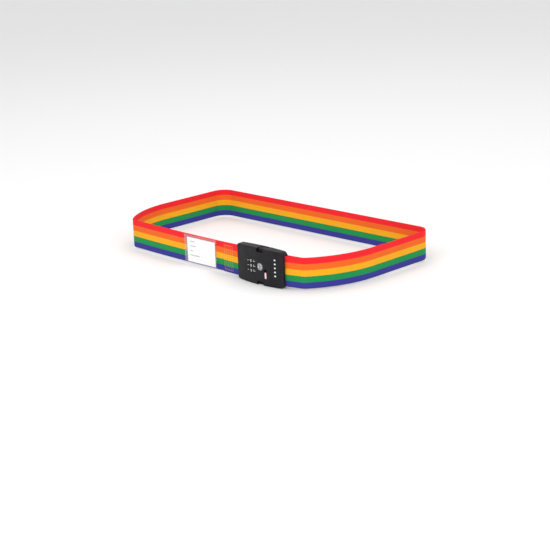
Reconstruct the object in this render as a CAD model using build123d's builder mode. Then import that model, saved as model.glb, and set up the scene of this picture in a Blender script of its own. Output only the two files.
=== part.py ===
from build123d import *
import math
import os

os.makedirs("parts", exist_ok=True)

# Luggage strap: a woven band that goes round a suitcase, closed by a side-release
# buckle with a three-dial combination lock and a key cylinder.
# X runs along the front of the loop, from the lock half to the plug half of the buckle.
# Y runs from the front of the loop to its back, and Z is up. Millimetres.
# The origin is at the middle of the bottom of the whole strap's box.

# ---- Driving dimensions --------------------------------------------------------------
WEB_WIDTH = 50.0
WEB_THICK = 1.4
WEB_DROP = 1.8  # the band's mid-line is this much below the buckle's
LOOP_WIDTH = 508.0
LOOP_DEPTH = 270.0  # outer face of the band at the front to its outer face at the back

BUCKLE_X = 131.0  # the finger windows' middle, from the middle of the loop
LEFT_END = -57.0  # ends of the buckle, from the finger windows' middle
RIGHT_END = 47.0
BUCKLE_HEIGHT = 61.0
END_HEIGHT = 58.4  # the buckle is a little lower at its ends
CROWN_RISE = 12.5  # the buckle's front at its middle, ahead of the band's outer face
END_RISE = 7.0  # the same at its ends
BACK_DROP = 5.0  # the buckle's back, behind the band's outer face
BACK_PLATE = 1.2
WALL = 2.0
LEFT_CORNER = 4.0
RIGHT_CORNER = 8.0
EDGE_ROUND = 1.2

SEAM = 22.5  # where the lock half meets the plug half, from the finger windows' middle
SEAM_GAP = 0.4
WINDOW_HALF = 7.0  # half the width of each finger window
WINDOW_FLOOR = 24.0  # the windows are open beyond this height from the mid-line

# ---- Derived places ------------------------------------------------------------------
KEY_PROUD = 0.2
FRONT_MOST = CROWN_RISE + KEY_PROUD
WEB_Y = FRONT_MOST - (LOOP_DEPTH + FRONT_MOST) / 2
MID_Z = BUCKLE_HEIGHT / 2
WEB_Z = MID_Z - WEB_DROP
SHELL_BACK = BACK_PLATE - BACK_DROP  # where the front shells meet the back plates
LOCK_END = SEAM - SEAM_GAP / 2
PLUG_START = SEAM + SEAM_GAP / 2
CREST_U = (LEFT_END + RIGHT_END) / 2
CREST_DROP = CROWN_RISE - END_RISE
CROWN_RADIUS = ((RIGHT_END - CREST_U) ** 2 + CREST_DROP**2) / (2 * CREST_DROP)


# Buckle coordinates: u along the buckle from the finger windows, depth ahead of the band's outer
# face, and height from the buckle's mid-line.
def front(depth):
    """Elevation plane at a depth: its x is u, its y is height, and it faces forward."""
    return Plane(origin=(BUCKLE_X, WEB_Y - depth, MID_Z), x_dir=(1, 0, 0), z_dir=(0, -1, 0))


def level(height):
    """Plan plane at a height: its x is u, its y is minus the depth, and it faces up."""
    return Plane(origin=(BUCKLE_X, WEB_Y, MID_Z + height), x_dir=(1, 0, 0), z_dir=(0, 0, 1))


def across(u):
    """Cross plane at a station u: its x is minus the depth, its y is height."""
    return Plane(origin=(BUCKLE_X + u, WEB_Y, MID_Z), x_dir=(0, 1, 0), z_dir=(1, 0, 0))


def face_rise(u):
    """Depth of the buckle's crowned front at a station u."""
    return CROWN_RISE - CROWN_RADIUS + math.sqrt(CROWN_RADIUS**2 - (u - CREST_U) ** 2)


def outline(depth, inset):
    """Elevation outline of the closed buckle, drawn in by inset."""
    left = LEFT_END + inset
    right = RIGHT_END - inset
    middle = BUCKLE_HEIGHT / 2 - inset
    end = END_HEIGHT / 2 - inset
    with BuildSketch(front(depth)) as sketch:
        with BuildLine():
            ThreePointArc((left, end), (CREST_U, middle), (right, end))
            Line((right, end), (right, -end))
            ThreePointArc((right, -end), (CREST_U, -middle), (left, -end))
            Line((left, -end), (left, end))
        make_face()
        corners = sketch.vertices().group_by(Axis.X)
        fillet(corners[0], radius=LEFT_CORNER - inset)
        corners = sketch.vertices().group_by(Axis.X)
        fillet(corners[-1], radius=RIGHT_CORNER - inset)
    return sketch.sketch


def crowned_block(inset):
    """The buckle's outer form in front of its back plates, drawn in by inset."""
    with BuildPart() as block:
        extrude(outline(SHELL_BACK, inset), amount=CROWN_RISE - SHELL_BACK)
        with BuildSketch(level(-BUCKLE_HEIGHT / 2)):
            with BuildLine():
                ThreePointArc(
                    (LEFT_END, inset - END_RISE),
                    (CREST_U, inset - CROWN_RISE),
                    (RIGHT_END, inset - END_RISE),
                )
                Line((RIGHT_END, inset - END_RISE), (RIGHT_END, -SHELL_BACK))
                Line((RIGHT_END, -SHELL_BACK), (LEFT_END, -SHELL_BACK))
                Line((LEFT_END, -SHELL_BACK), (LEFT_END, inset - END_RISE))
            make_face()
        extrude(amount=BUCKLE_HEIGHT, mode=Mode.INTERSECT)
    return block.part


# ---- Lock half: shells, screws and the webbing's anchor pin -----------------------------
SCREW_RADIUS = 1.2
SCREW_HEAD = 2.3
SCREW_LENGTH = 8.0
SCREW_FIT = 0.05
BOSS_RADIUS = 2.4
LOCK_SCREWS = [(-36.0, 22.0), (-36.0, -22.0), (19.4, 18.5), (19.4, -18.5)]

PIN_RADIUS = 2.0
PIN_LENGTH = 56.0
PIN_U = -46.0  # anchor pin in the lock half, on the band's outer face plane
SLOT_HALF = 25.3  # half the height of both webbing slots
ANCHOR_SLOT_RISE = 4.0

DIAL_U = -20.0
DIAL_HEIGHT = 6.8
DIAL_PITCH = 8.0
DIAL_STACK = -1.2  # height of the middle dial's centre
DIAL_RADIUS = 7.2
DIAL_PROUD = 0.6
DIAL_DEPTH = face_rise(DIAL_U) + DIAL_PROUD - DIAL_RADIUS  # of the dials' axis
DIAL_CENTRES = [DIAL_STACK + DIAL_PITCH * step for step in (1, 0, -1)]
WINDOW_WIDTH = 12.2
WINDOW_SLACK = 0.25

KEY_HEIGHT = 0.3
KEY_BODY_RADIUS = 6.5
KEY_PLUG_RADIUS = 4.5
KEY_FIT = 0.05
KEY_BODY_BACK = 1.0

RESET_U = 11.5
RESET_HEIGHT = -13.0
RESET_LENGTH = 12.0
RESET_WIDTH = 5.3
RESET_TRAVEL = 4.0
RESET_SLACK = 0.2

with BuildPart() as lock_front_shell:
    add(crowned_block(0))
    split(bisect_by=across(LOCK_END), keep=Keep.BOTTOM)
    crown_edges = lock_front_shell.faces().sort_by(Axis.Y)[0].edges()
    fillet(crown_edges.sort_by(Axis.X)[:-1], radius=EDGE_ROUND)
    add(crowned_block(WALL), mode=Mode.SUBTRACT)
    for place in LOCK_SCREWS:
        with BuildSketch(front(SHELL_BACK)):
            with Locations(place):
                Circle(BOSS_RADIUS)
        extrude(amount=face_rise(place[0]) - WALL / 2 - SHELL_BACK)
    with BuildSketch(front(SHELL_BACK)):
        with Locations(*LOCK_SCREWS):
            Circle(SCREW_RADIUS + SCREW_FIT)
    extrude(amount=SCREW_LENGTH, mode=Mode.SUBTRACT)
    # finger windows, through the top and bottom walls and the edges of the face
    with BuildSketch(front(SHELL_BACK)):
        for side in (1, -1):
            with Locations((0, side * (WINDOW_FLOOR + BUCKLE_HEIGHT / 2) / 2 + side)):
                Rectangle(2 * WINDOW_HALF, BUCKLE_HEIGHT / 2 - WINDOW_FLOOR + 2)
    extrude(amount=FRONT_MOST - SHELL_BACK, mode=Mode.SUBTRACT)
    # dial windows, the key cylinder's hole and the reset slot
    with BuildSketch(front(DIAL_DEPTH)):
        with Locations(*[(DIAL_U, height) for height in DIAL_CENTRES]):
            RectangleRounded(WINDOW_WIDTH, DIAL_HEIGHT + 2 * WINDOW_SLACK, 0.6)
        with Locations((0, KEY_HEIGHT)):
            Circle(KEY_BODY_RADIUS + KEY_FIT)
        with Locations((RESET_U, RESET_HEIGHT + RESET_TRAVEL / 2)):
            SlotOverall(
                RESET_LENGTH + RESET_TRAVEL + 2 * RESET_SLACK,
                RESET_WIDTH + 2 * RESET_SLACK,
                rotation=90,
            )
    extrude(amount=FRONT_MOST - DIAL_DEPTH, mode=Mode.SUBTRACT)
    # webbing slot in the end wall, and the seats of the anchor pin
    with BuildSketch(across(LEFT_END - 1)):
        with Locations(((-SHELL_BACK - ANCHOR_SLOT_RISE) / 2, -WEB_DROP)):
            Rectangle(ANCHOR_SLOT_RISE - SHELL_BACK, 2 * SLOT_HALF)
    extrude(amount=WALL + 2, mode=Mode.SUBTRACT)
    with BuildSketch(level(-PIN_LENGTH / 2)):
        with Locations((PIN_U, 0)):
            Circle(PIN_RADIUS + SCREW_FIT)
    extrude(amount=PIN_LENGTH, mode=Mode.SUBTRACT)
lock_front_shell.part.label = "lock_front_shell"
export_step(lock_front_shell.part, "parts/lock_front_shell.step")

with BuildPart() as lock_back_shell:
    extrude(outline(-BACK_DROP, 0), amount=BACK_PLATE)
    split(bisect_by=across(LOCK_END), keep=Keep.BOTTOM)
    back_edges = lock_back_shell.faces().sort_by(Axis.Y)[-1].edges()
    chamfer(back_edges.sort_by(Axis.X)[:-1], length=BACK_PLATE / 2)
    with Locations(front(-BACK_DROP)):
        with Locations(*LOCK_SCREWS):
            Cone(SCREW_HEAD + SCREW_FIT, SCREW_RADIUS + SCREW_FIT, BACK_PLATE,
                 align=(Align.CENTER, Align.CENTER, Align.MIN), mode=Mode.SUBTRACT)
lock_back_shell.part.label = "lock_back_shell"
export_step(lock_back_shell.part, "parts/lock_back_shell.step")


def cut_screw_drives(places):
    """Cross recesses in the heads of the screws at the given places of the back."""
    with BuildSketch(front(-BACK_DROP)) as crosses:
        with Locations(*places):
            Rectangle(SCREW_HEAD * 1.2, 0.5)
            Rectangle(0.5, SCREW_HEAD * 1.2)
    return crosses.sketch


with BuildPart() as lock_screws:
    with Locations(front(-BACK_DROP)):
        with Locations(*LOCK_SCREWS):
            Cone(SCREW_HEAD, SCREW_RADIUS, BACK_PLATE,
                 align=(Align.CENTER, Align.CENTER, Align.MIN))
            Cylinder(SCREW_RADIUS, SCREW_LENGTH,
                     align=(Align.CENTER, Align.CENTER, Align.MIN))
    extrude(cut_screw_drives(LOCK_SCREWS), amount=BACK_PLATE / 2, mode=Mode.SUBTRACT)
lock_screws.part.label = "lock_screws"
export_step(lock_screws.part, "parts/lock_screws.step")

with BuildPart() as webbing_pin:
    with BuildSketch(level(-PIN_LENGTH / 2)):
        with Locations((PIN_U, 0)):
            Circle(PIN_RADIUS)
    extrude(amount=PIN_LENGTH)
webbing_pin.part.label = "webbing_pin"
export_step(webbing_pin.part, "parts/webbing_pin.step")

# ---- Lock half: dials, their sleeves, the frame and the detent spring -------------------
DIAL_BORE = 3.4
SLEEVE_RADIUS = 3.38
SLEEVE_ROOM = 2.6  # the fins of the shaft turn free inside this radius
SHAFT_RADIUS = 1.7
SHAFT_FIT = 0.05
FLANGE_HALF = 0.6  # half the thickness of the gated flange inside each sleeve
GATE_WIDTH = 1.6
DIGITS = 10
GROOVE_RADIUS = 0.35

for number, height in enumerate(DIAL_CENTRES, start=1):
    with BuildPart() as dial:
        with BuildSketch(level(height - DIAL_HEIGHT / 2)):
            with Locations((DIAL_U, -DIAL_DEPTH)):
                Circle(DIAL_RADIUS)
                Circle(DIAL_BORE, mode=Mode.SUBTRACT)
                with PolarLocations(DIAL_RADIUS, DIGITS, start_angle=180 / DIGITS + 90):
                    Circle(GROOVE_RADIUS, mode=Mode.SUBTRACT)
        extrude(amount=DIAL_HEIGHT)
    dial.part.label = f"dial_{number}"
    export_step(dial.part, f"parts/dial_{number}.step")

    with BuildPart() as dial_sleeve:
        with BuildSketch(level(height - DIAL_HEIGHT / 2)):
            with Locations((DIAL_U, -DIAL_DEPTH)):
                Circle(SLEEVE_RADIUS)
                Circle(SLEEVE_ROOM, mode=Mode.SUBTRACT)
        extrude(amount=DIAL_HEIGHT)
        with BuildSketch(level(height - FLANGE_HALF)):
            with Locations((DIAL_U, -DIAL_DEPTH)):
                Circle(SLEEVE_ROOM)
                Circle(SHAFT_RADIUS + SHAFT_FIT, mode=Mode.SUBTRACT)
                with Locations((SLEEVE_ROOM / 2, 0)):
                    Rectangle(SLEEVE_ROOM, GATE_WIDTH, mode=Mode.SUBTRACT)
        extrude(amount=2 * FLANGE_HALF)
    dial_sleeve.part.label = f"dial_sleeve_{number}"
    export_step(dial_sleeve.part, f"parts/dial_sleeve_{number}.step")

FRAME_SHEET = 1.0
FRAME_BACK = -3.6  # depth of the frame's back face
FRAME_FRONT = 8.0
FRAME_LEFT = -29.5
FRAME_RIGHT = -13.0
CHEEK_GAP = 0.4  # between a cheek and the dial beside it
CHEEK_TOP = DIAL_CENTRES[0] + DIAL_HEIGHT / 2 + CHEEK_GAP
CHEEK_BOTTOM = DIAL_CENTRES[2] - DIAL_HEIGHT / 2 - CHEEK_GAP

with BuildPart() as dial_frame:
    with BuildSketch(across(FRAME_LEFT)):
        with BuildLine():
            Polyline(
                (-FRAME_FRONT, CHEEK_TOP + FRAME_SHEET),
                (-FRAME_BACK, CHEEK_TOP + FRAME_SHEET),
                (-FRAME_BACK, CHEEK_BOTTOM - FRAME_SHEET),
                (-FRAME_FRONT, CHEEK_BOTTOM - FRAME_SHEET),
                (-FRAME_FRONT, CHEEK_BOTTOM),
                (-FRAME_BACK - FRAME_SHEET, CHEEK_BOTTOM),
                (-FRAME_BACK - FRAME_SHEET, CHEEK_TOP),
                (-FRAME_FRONT, CHEEK_TOP),
                close=True,
            )
        make_face()
    extrude(amount=FRAME_RIGHT - FRAME_LEFT)
    with BuildSketch(level(CHEEK_BOTTOM - FRAME_SHEET)):
        with Locations((DIAL_U, -DIAL_DEPTH)):
            Circle(SHAFT_RADIUS + SHAFT_FIT)
    extrude(amount=CHEEK_TOP - CHEEK_BOTTOM + 2 * FRAME_SHEET, mode=Mode.SUBTRACT)
dial_frame.part.label = "dial_frame"
export_step(dial_frame.part, "parts/dial_frame.step")

DETENT_SHEET = 0.4
DETENT_U = -28.6
DETENT_BUMP = 0.5

with BuildPart() as detent_spring:
    with BuildSketch(front(FRAME_BACK + FRAME_SHEET)):
        with Locations((DETENT_U, (CHEEK_TOP + CHEEK_BOTTOM) / 2)):
            Rectangle(DETENT_SHEET, CHEEK_TOP - CHEEK_BOTTOM)
    extrude(amount=FRAME_FRONT - FRAME_BACK - FRAME_SHEET)
    for height in DIAL_CENTRES:
        with BuildSketch(level(height - DIAL_HEIGHT / 4)):
            with Locations((DETENT_U + DETENT_SHEET / 2, -DIAL_DEPTH)):
                Circle(DETENT_BUMP)
        extrude(amount=DIAL_HEIGHT / 2)
    # slits between the three fingers
    with BuildSketch(across(DETENT_U - DETENT_SHEET)):
        for height in (DIAL_STACK + DIAL_PITCH / 2, DIAL_STACK - DIAL_PITCH / 2):
            with Locations((-FRAME_FRONT, height)):
                Rectangle(FRAME_FRONT, FRAME_SHEET)
    extrude(amount=2 * DETENT_SHEET, mode=Mode.SUBTRACT)
detent_spring.part.label = "detent_spring"
export_step(detent_spring.part, "parts/detent_spring.step")

# ---- Lock half: the shaft that the dials free or block ----------------------------------
ARM_INNER = 24.1  # the arms' inner faces, from the mid-line
FOOT_GAP = 0.3
FOOT_THICK = 1.2
FOOT_BOTTOM = FOOT_GAP - ARM_INNER
FOOT_RIGHT = -6.4
FOOT_WIDTH = 5.0
SHAFT_TOP = CHEEK_TOP + FRAME_SHEET + 1.5
FIN_HEIGHT = 1.0
FIN_WIDTH = 1.2
FIN_REACH = 2.4
FIN_DROP = 2.8  # a fin's lower face, below its dial's centre
SPRING_WIRE = 0.5
SPRING_CLEAR = 0.1

with BuildPart() as lock_shaft:
    with BuildSketch(level(FOOT_BOTTOM + FOOT_THICK)):
        with Locations((DIAL_U, -DIAL_DEPTH)):
            Circle(SHAFT_RADIUS)
    extrude(amount=SHAFT_TOP - FOOT_BOTTOM - FOOT_THICK)
    for height in DIAL_CENTRES:
        with BuildSketch(level(height - FIN_DROP)):
            with Locations((DIAL_U + FIN_REACH / 2, -DIAL_DEPTH)):
                Rectangle(FIN_REACH, FIN_WIDTH)
        extrude(amount=FIN_HEIGHT)
lock_shaft.part.label = "lock_shaft"
export_step(lock_shaft.part, "parts/lock_shaft.step")

with BuildPart() as shaft_foot:
    with BuildSketch(level(FOOT_BOTTOM)):
        with Locations(((DIAL_U + FOOT_RIGHT) / 2, -DIAL_DEPTH)):
            Rectangle(FOOT_RIGHT - DIAL_U, FOOT_WIDTH)
        with Locations((DIAL_U, -DIAL_DEPTH)):
            Circle(FOOT_WIDTH / 2)
    extrude(amount=FOOT_THICK)
shaft_foot.part.label = "shaft_foot"
export_step(shaft_foot.part, "parts/shaft_foot.step")


def coil(plane, length, radius, turns):
    """Open coil spring standing on a plane, as the solid of its wire."""
    with BuildPart() as wire:
        with BuildLine(plane) as path:
            Helix(pitch=(length - SPRING_WIRE) / turns, height=length - SPRING_WIRE, radius=radius)
        with BuildSketch(Plane(origin=path.line @ 0, z_dir=path.line % 0)):
            Circle(SPRING_WIRE / 2)
        sweep(is_frenet=True)
    return wire.part


with BuildPart() as shaft_spring:
    spring_base = FOOT_BOTTOM + FOOT_THICK + SPRING_CLEAR
    spring_top = CHEEK_BOTTOM - FRAME_SHEET - SPRING_CLEAR
    seat = level(spring_base + SPRING_WIRE / 2)
    seat.origin += Vector(DIAL_U, -DIAL_DEPTH, 0)
    add(coil(seat, spring_top - spring_base, SHAFT_RADIUS + SPRING_WIRE, 4))
shaft_spring.part.label = "shaft_spring"
export_step(shaft_spring.part, "parts/shaft_spring.step")

# ---- Lock half: key cylinder ---------------------------------------------------------
KEY_PLUG_BACK = -0.5
CLIP_THICK = 0.6
CLIP_GAP = 0.1
CLIP_RADIUS = 5.5
CLIP_GROOVE = 3.5
CAM_THICK = 1.4
CAM_RADIUS = 4.0
CAM_REACH = 10.0
CAM_WIDTH = 4.0
KEYWAY_LENGTH = 6.0
KEYWAY_WIDTH = 1.3
KEYWAY_DEPTH = 9.0
CLIP_FRONT = KEY_BODY_BACK - CLIP_GAP

with BuildPart() as key_cylinder_body:
    with BuildSketch(front(KEY_BODY_BACK)):
        with Locations((0, KEY_HEIGHT)):
            Circle(KEY_BODY_RADIUS)
            Circle(KEY_PLUG_RADIUS + KEY_FIT, mode=Mode.SUBTRACT)
    extrude(amount=CROWN_RISE - KEY_BODY_BACK)
    rim = key_cylinder_body.faces().sort_by(Axis.Y)[0].edges()
    chamfer(rim.sort_by(SortBy.LENGTH)[-1], length=0.4)
key_cylinder_body.part.label = "key_cylinder_body"
export_step(key_cylinder_body.part, "parts/key_cylinder_body.step")

with BuildPart() as key_plug:
    with BuildSketch(front(KEY_PLUG_BACK)):
        with Locations((0, KEY_HEIGHT)):
            Circle(KEY_PLUG_RADIUS)
    extrude(amount=FRONT_MOST - KEY_PLUG_BACK)
    chamfer(key_plug.faces().sort_by(Axis.Y)[0].edges(), length=0.3)
    with BuildSketch(front(FRONT_MOST)):
        with Locations((0, KEY_HEIGHT)):
            Rectangle(KEYWAY_WIDTH, KEYWAY_LENGTH)
            with Locations((KEYWAY_WIDTH / 2, KEYWAY_LENGTH / 6)):
                Rectangle(KEYWAY_WIDTH, KEYWAY_WIDTH)
    extrude(amount=-KEYWAY_DEPTH, mode=Mode.SUBTRACT)
    with BuildSketch(front(CLIP_FRONT - CLIP_THICK)):
        with Locations((0, KEY_HEIGHT)):
            Circle(KEY_PLUG_RADIUS)
            Circle(CLIP_GROOVE, mode=Mode.SUBTRACT)
    extrude(amount=CLIP_THICK, mode=Mode.SUBTRACT)
key_plug.part.label = "key_plug"
export_step(key_plug.part, "parts/key_plug.step")

with BuildPart() as key_clip:
    with BuildSketch(front(CLIP_FRONT - CLIP_THICK)):
        with Locations((0, KEY_HEIGHT)):
            Circle(CLIP_RADIUS)
            Circle(CLIP_GROOVE, mode=Mode.SUBTRACT)
            with Locations((0, CLIP_RADIUS)):
                Rectangle(CLIP_GROOVE, 2 * CLIP_RADIUS, mode=Mode.SUBTRACT)
    extrude(amount=CLIP_THICK)
key_clip.part.label = "key_clip"
export_step(key_clip.part, "parts/key_clip.step")

with BuildPart() as key_cam:
    with BuildSketch(front(KEY_PLUG_BACK - CAM_THICK)):
        with Locations((0, KEY_HEIGHT)):
            Circle(CAM_RADIUS)
            with Locations((0, CAM_REACH / 2)):
                SlotOverall(CAM_REACH + CAM_WIDTH / 2, CAM_WIDTH, rotation=90)
    extrude(amount=CAM_THICK)
key_cam.part.label = "key_cam"
export_step(key_cam.part, "parts/key_cam.step")

# ---- Lock half: combination reset slider -----------------------------------------------
RESET_FACE = 12.0
RESET_PLATE_FRONT = face_rise(RESET_U + RESET_WIDTH) - WALL - 0.2
RESET_PLATE = 1.2
RESET_PLATE_WIDTH = 9.0
RESET_PLATE_LENGTH = 15.6
LINK_FRONT = 4.5
LINK_SHEET = 1.5
LINK_HEIGHT = -16.5
LINK_WIDTH = 2.0
LINK_LEFT = -12.0
LINK_RIGHT = 13.5
STEM_LENGTH = 3.0

with BuildPart() as reset_slider:
    with BuildSketch(front(RESET_PLATE_FRONT - RESET_PLATE)):
        with Locations((RESET_U, RESET_HEIGHT)):
            Rectangle(RESET_PLATE_WIDTH, RESET_PLATE_LENGTH)
    extrude(amount=RESET_PLATE)
    with BuildSketch(front(RESET_PLATE_FRONT - RESET_PLATE)):
        with Locations((RESET_U, RESET_HEIGHT)):
            SlotOverall(RESET_LENGTH, RESET_WIDTH, rotation=90)
    extrude(amount=RESET_FACE - RESET_PLATE_FRONT + RESET_PLATE)
    fillet(reset_slider.faces().sort_by(Axis.Y)[0].edges(), radius=0.5)
    with BuildSketch(front(LINK_FRONT)):
        with Locations((RESET_U, LINK_HEIGHT)):
            Rectangle(STEM_LENGTH, LINK_WIDTH)
    extrude(amount=RESET_PLATE_FRONT - RESET_PLATE - LINK_FRONT)
reset_slider.part.label = "reset_slider"
export_step(reset_slider.part, "parts/reset_slider.step")

with BuildPart() as reset_link:
    with BuildSketch(front(LINK_FRONT - LINK_SHEET)):
        with Locations(((LINK_LEFT + LINK_RIGHT) / 2, LINK_HEIGHT)):
            Rectangle(LINK_RIGHT - LINK_LEFT, LINK_WIDTH)
    extrude(amount=LINK_SHEET)
reset_link.part.label = "reset_link"
export_step(reset_link.part, "parts/reset_link.step")

# ---- Plug half: shells, screws and the grip bar ------------------------------------------
PLUG_FACE_WALL = 1.5
NECK_LEFT = 17.5
NECK_RIGHT = 28.0
NECK_HALF = 15.0
NECK_BACK = -2.5
NECK_FRONT = 8.5
ARM_PIVOT_U = 30.0
ARM_PIVOT = 24.3  # the pivots' height from the mid-line
POST_RADIUS = 1.5
POST_FRONT = 8.0
ARM_BACK = -1.5
ARM_FRONT = 6.5
PORT_INNER = 22.0
PORT_OUTER = 28.2
PORT_SLACK = 0.7
PLUG_SCREWS = [(31.0, 12.0), (31.0, -12.0)]
BAR_U = 39.5
BAR_DEPTH = -1.2
THROAT_LEFT = 35.5
THROAT_RISE = 3.0

with BuildPart() as plug_front_shell:
    add(crowned_block(0))
    split(bisect_by=across(PLUG_START), keep=Keep.TOP)
    crown_edges = plug_front_shell.faces().sort_by(Axis.Y)[0].edges()
    fillet(crown_edges.sort_by(Axis.X)[1:], radius=EDGE_ROUND)
    hollow = split(crowned_block(WALL), bisect_by=across(PLUG_START + PLUG_FACE_WALL),
                   keep=Keep.TOP, mode=Mode.PRIVATE)
    add(hollow, mode=Mode.SUBTRACT)
    # ports for the two arms, in the wall that meets the lock half
    with BuildSketch(across(PLUG_START - 1)):
        for side in (1, -1):
            with Locations((-(ARM_BACK + ARM_FRONT) / 2, side * (PORT_INNER + PORT_OUTER) / 2)):
                Rectangle(ARM_FRONT - ARM_BACK + 2 * PORT_SLACK, PORT_OUTER - PORT_INNER)
    extrude(amount=PLUG_FACE_WALL + 2, mode=Mode.SUBTRACT)
    with BuildSketch(front(NECK_BACK)):
        with Locations(((NECK_LEFT + NECK_RIGHT) / 2, 0)):
            Rectangle(NECK_RIGHT - NECK_LEFT, 2 * NECK_HALF)
    extrude(amount=NECK_FRONT - NECK_BACK)
    for place in PLUG_SCREWS:
        with BuildSketch(front(SHELL_BACK)):
            with Locations(place):
                Circle(BOSS_RADIUS)
        extrude(amount=face_rise(place[0]) - WALL / 2 - SHELL_BACK)
    with BuildSketch(front(SHELL_BACK)):
        with Locations(*PLUG_SCREWS):
            Circle(SCREW_RADIUS + SCREW_FIT)
    extrude(amount=SCREW_LENGTH, mode=Mode.SUBTRACT)
    # webbing throat in the end wall, and the seats of the grip bar
    with BuildSketch(across(RIGHT_END - WALL - RIGHT_CORNER)):
        with Locations(((-SHELL_BACK - THROAT_RISE) / 2, -WEB_DROP)):
            Rectangle(THROAT_RISE - SHELL_BACK, 2 * SLOT_HALF)
    extrude(amount=WALL + RIGHT_CORNER + 1, mode=Mode.SUBTRACT)
    with BuildSketch(level(-PIN_LENGTH / 2)):
        with Locations((BAR_U, -BAR_DEPTH)):
            Circle(PIN_RADIUS + SCREW_FIT)
    extrude(amount=PIN_LENGTH, mode=Mode.SUBTRACT)
plug_front_shell.part.label = "plug_front_shell"
export_step(plug_front_shell.part, "parts/plug_front_shell.step")

with BuildPart() as plug_back_shell:
    extrude(outline(-BACK_DROP, 0), amount=BACK_PLATE)
    split(bisect_by=across(PLUG_START), keep=Keep.TOP)
    back_edges = plug_back_shell.faces().sort_by(Axis.Y)[-1].edges()
    chamfer(back_edges.sort_by(Axis.X)[1:], length=BACK_PLATE / 2)
    with BuildSketch(front(-BACK_DROP)):
        with Locations(((THROAT_LEFT + RIGHT_END) / 2 + 1, -WEB_DROP)):
            Rectangle(RIGHT_END - THROAT_LEFT + 2, 2 * SLOT_HALF)
    extrude(amount=BACK_PLATE, mode=Mode.SUBTRACT)
    with BuildSketch(front(SHELL_BACK)):
        with Locations((ARM_PIVOT_U, ARM_PIVOT), (ARM_PIVOT_U, -ARM_PIVOT)):
            Circle(POST_RADIUS)
    extrude(amount=POST_FRONT - SHELL_BACK)
    with Locations(front(-BACK_DROP)):
        with Locations(*PLUG_SCREWS):
            Cone(SCREW_HEAD + SCREW_FIT, SCREW_RADIUS + SCREW_FIT, BACK_PLATE,
                 align=(Align.CENTER, Align.CENTER, Align.MIN), mode=Mode.SUBTRACT)
plug_back_shell.part.label = "plug_back_shell"
export_step(plug_back_shell.part, "parts/plug_back_shell.step")

with BuildPart() as plug_screws:
    with Locations(front(-BACK_DROP)):
        with Locations(*PLUG_SCREWS):
            Cone(SCREW_HEAD, SCREW_RADIUS, BACK_PLATE,
                 align=(Align.CENTER, Align.CENTER, Align.MIN))
            Cylinder(SCREW_RADIUS, SCREW_LENGTH,
                     align=(Align.CENTER, Align.CENTER, Align.MIN))
    extrude(cut_screw_drives(PLUG_SCREWS), amount=BACK_PLATE / 2, mode=Mode.SUBTRACT)
plug_screws.part.label = "plug_screws"
export_step(plug_screws.part, "parts/plug_screws.step")

with BuildPart() as grip_bar:
    with BuildSketch(level(-PIN_LENGTH / 2)):
        with Locations((BAR_U, -BAR_DEPTH)):
            Circle(PIN_RADIUS)
    extrude(amount=PIN_LENGTH)
grip_bar.part.label = "grip_bar"
export_step(grip_bar.part, "parts/grip_bar.step")

# ---- Plug half: squeeze arms and their springs --------------------------------------------
ARM_THICK = 3.4
ARM_TIP = -9.0
ARM_EYE = 2.8
PAD_HALF = 6.5
PAD_BACK = -2.5
PAD_FRONT = 9.5
PAD_TOP = 29.8
ARM_SPRING_U = 25.7
ARM_SPRING_DEPTH = 2.5
ARM_SPRING_RADIUS = 1.15

for name, side in (("plug_arm_top", 1), ("plug_arm_bottom", -1)):
    with BuildPart() as plug_arm:
        with BuildSketch(front(ARM_BACK)):
            with Locations((ARM_PIVOT_U, side * ARM_PIVOT)):
                Circle(ARM_EYE)
            with Locations(((ARM_TIP + ARM_PIVOT_U) / 2, side * (ARM_INNER + ARM_THICK / 2))):
                Rectangle(ARM_PIVOT_U - ARM_TIP, ARM_THICK)
        extrude(amount=ARM_FRONT - ARM_BACK)
        with BuildSketch(front(PAD_BACK)):
            with Locations((0, side * (ARM_INNER + PAD_TOP) / 2)):
                Rectangle(2 * PAD_HALF, PAD_TOP - ARM_INNER)
        extrude(amount=PAD_FRONT - PAD_BACK)
        pad_rim = plug_arm.faces().sort_by(Axis.Y)[0].edges()
        fillet(pad_rim, radius=0.8)
        with BuildSketch(front(ARM_BACK)):
            with Locations((ARM_PIVOT_U, side * ARM_PIVOT)):
                Circle(POST_RADIUS + SHAFT_FIT)
        extrude(amount=ARM_FRONT - ARM_BACK, mode=Mode.SUBTRACT)
    plug_arm.part.label = name
    export_step(plug_arm.part, f"parts/{name}.step")

    with BuildPart() as arm_spring:
        seat = level(NECK_HALF + SPRING_CLEAR + SPRING_WIRE / 2)
        seat.origin += Vector(ARM_SPRING_U, -ARM_SPRING_DEPTH, 0)
        add(coil(seat, ARM_INNER - NECK_HALF - 2 * SPRING_CLEAR, ARM_SPRING_RADIUS, 6))
        if side < 0:
            mirror(about=level(0), mode=Mode.REPLACE)
    arm_spring.part.label = name.replace("plug_arm", "arm_spring")
    export_step(arm_spring.part, f"parts/{arm_spring.part.label}.step")

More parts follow.
